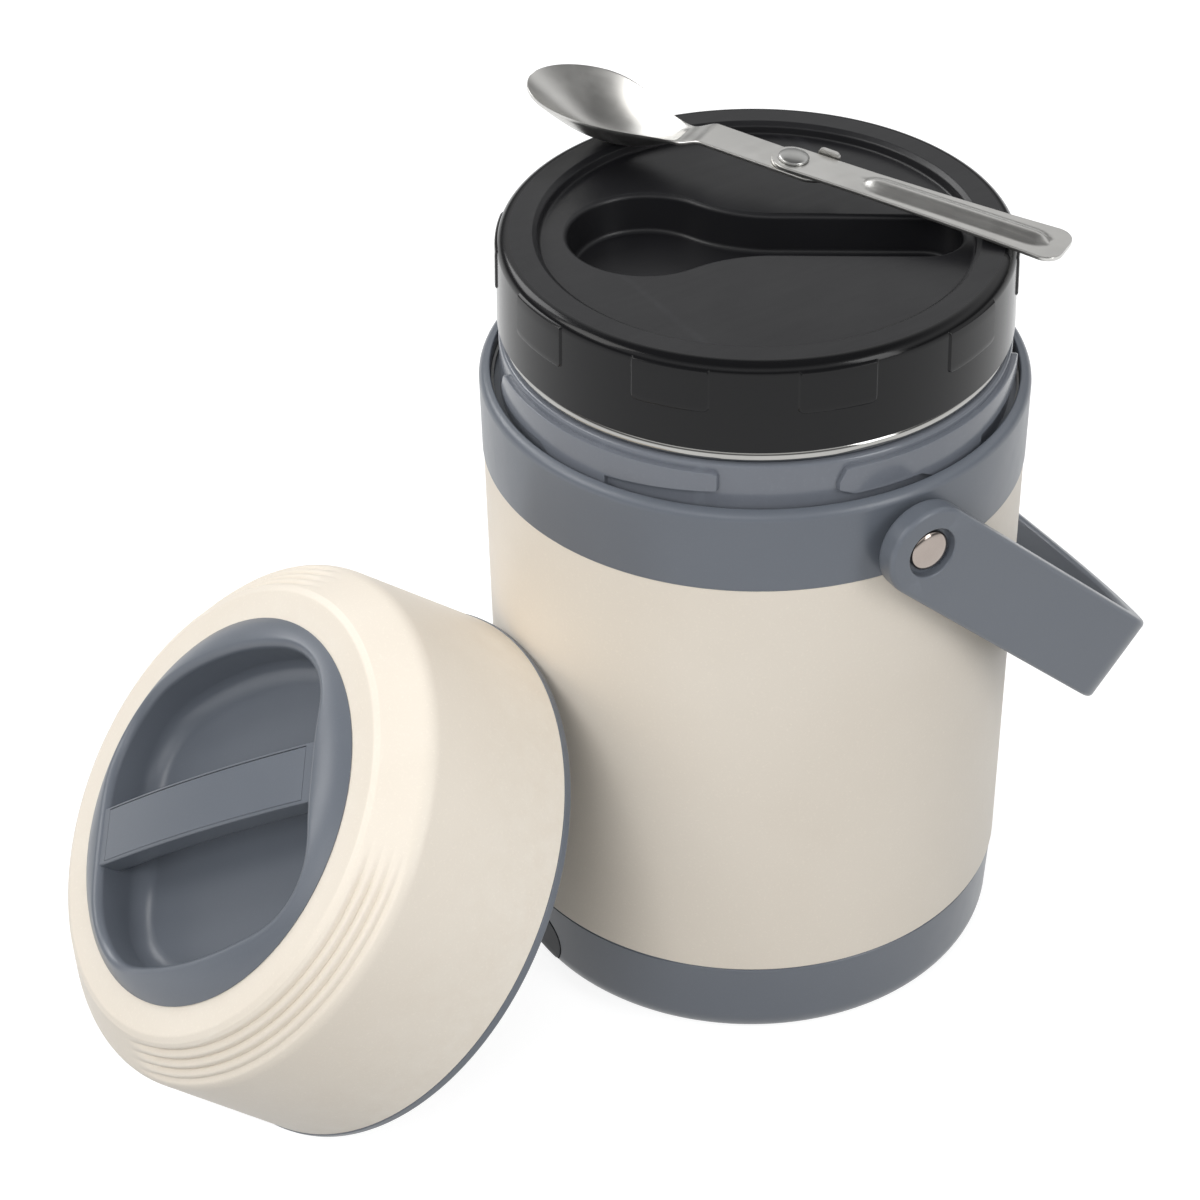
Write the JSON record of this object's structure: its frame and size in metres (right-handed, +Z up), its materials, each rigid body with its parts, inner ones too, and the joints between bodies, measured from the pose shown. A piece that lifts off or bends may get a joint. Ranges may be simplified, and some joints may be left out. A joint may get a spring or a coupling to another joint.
{
  "type": "electric lunch box",
  "caption": "Tall insulated lunch jar with a heated well, lift-out steel bowl and lid, folding spoon, swinging bail and a separate outer lid.",
  "frame": {"origin": "the jar's axis at the plane it stands on, at the centre of the non-slip pad's underside", "axes": "+Z up along the jar's axis, X along the bail's pivots with the bail hanging towards +Y and the outer lid leaning on the body at -Y"},
  "size_m": [0.1714, 0.3097, 0.2423],
  "materials": {
    "cream_plastic": "warm cream moulded plastic with a soft satin finish",
    "slate_plastic": "slate grey moulded plastic, satin",
    "black_plastic": "black moulded plastic, satin on top and glossier on the skirt",
    "silicone": "soft grey silicone",
    "well_aluminium": "spun aluminium, satin",
    "polished_steel": "polished stainless steel",
    "satin_steel": "stainless steel with a fine satin grain",
    "plated_steel": "plated steel",
    "chrome_cap": "bright chrome",
    "foam": "pale rigid foam",
    "liner_plastic": "pale grey moulded plastic",
    "fuse_brass": "tinned brass case",
    "lead_red": "red insulated lead",
    "lead_blue": "blue insulated lead"
  },
  "bodies": {
    "jar": {"outer_shell": "cream_plastic", "collar_ring": "slate_plastic", "neck_gasket": "silicone", "well_liner": "well_aluminium", "insulation_sleeve": "foam", "base_ring": "slate_plastic", "bottom_cover": "black_plastic", "base_screws": "plated_steel", "base_pad": "silicone", "heater_plate": "well_aluminium", "heating_element": "plated_steel", "heater_bracket": "plated_steel", "heater_nuts": "plated_steel", "thermostat": "black_plastic", "thermal_fuse": "fuse_brass", "live_lead": "lead_red", "neutral_lead": "lead_blue", "link_lead": "lead_red", "inlet_socket": "black_plastic", "inlet_pins": "plated_steel", "pivot_pins": "chrome_cap", "pivot_washers": "black_plastic"},
    "inlet_cover": {"inlet_flap": "silicone"},
    "bail": {"bail_handle": "slate_plastic"},
    "bowl": {"food_bowl": "polished_steel"},
    "inner_lid": {"bowl_lid": "black_plastic", "bowl_lid_plate": "black_plastic", "bowl_lid_gasket": "silicone"},
    "spoon": {"spoon_bowl": "satin_steel", "spoon_rivet": "satin_steel"},
    "spoon_grip": {"spoon_handle": "satin_steel"},
    "outer_lid": {"lid_shell": "cream_plastic", "lid_rim": "slate_plastic", "lid_liner": "liner_plastic", "lid_insulation": "foam", "lid_gasket": "silicone", "handle_cup": "slate_plastic", "grip_strip": "slate_plastic"}
  },
  "joints": [
    {"name": "bail_swing", "type": "hinge", "parent": "jar", "child": "bail", "pos_m": [0, 0, 0.1712], "axis": [1, 0, 0], "range_deg": [0, 116]},
    {"name": "bowl_lift", "type": "slide", "parent": "jar", "child": "bowl", "axis": [0, 0, 1], "range_m": [0, 0.27]},
    {"name": "bowl_lid_lift", "type": "slide", "parent": "bowl", "child": "inner_lid", "axis": [0, 0, 1], "range_m": [0, 0.06]},
    {"name": "spoon_lift", "type": "slide", "parent": "inner_lid", "child": "spoon", "axis": [0, 0, 1], "range_m": [0, 0.05]},
    {"name": "spoon_fold", "type": "hinge", "parent": "spoon", "child": "spoon_grip", "pos_m": [-0.0142, 0.021, 0.23362], "axis": [-0.0872, -0.0495, -0.995], "range_deg": [0, 180]},
    {"name": "outer_lid_lift", "type": "slide", "parent": "jar", "child": "outer_lid", "axis": [-0.0479, -0.4977, 0.866], "range_m": [0, 0.25]},
    {"name": "inlet_cover_swing", "type": "hinge", "parent": "jar", "child": "inlet_cover", "pos_m": [-0.00384, -0.0733, 0.0206], "axis": [-0.9986, 0.0523, 0], "range_deg": [0, 100]}
  ]
}
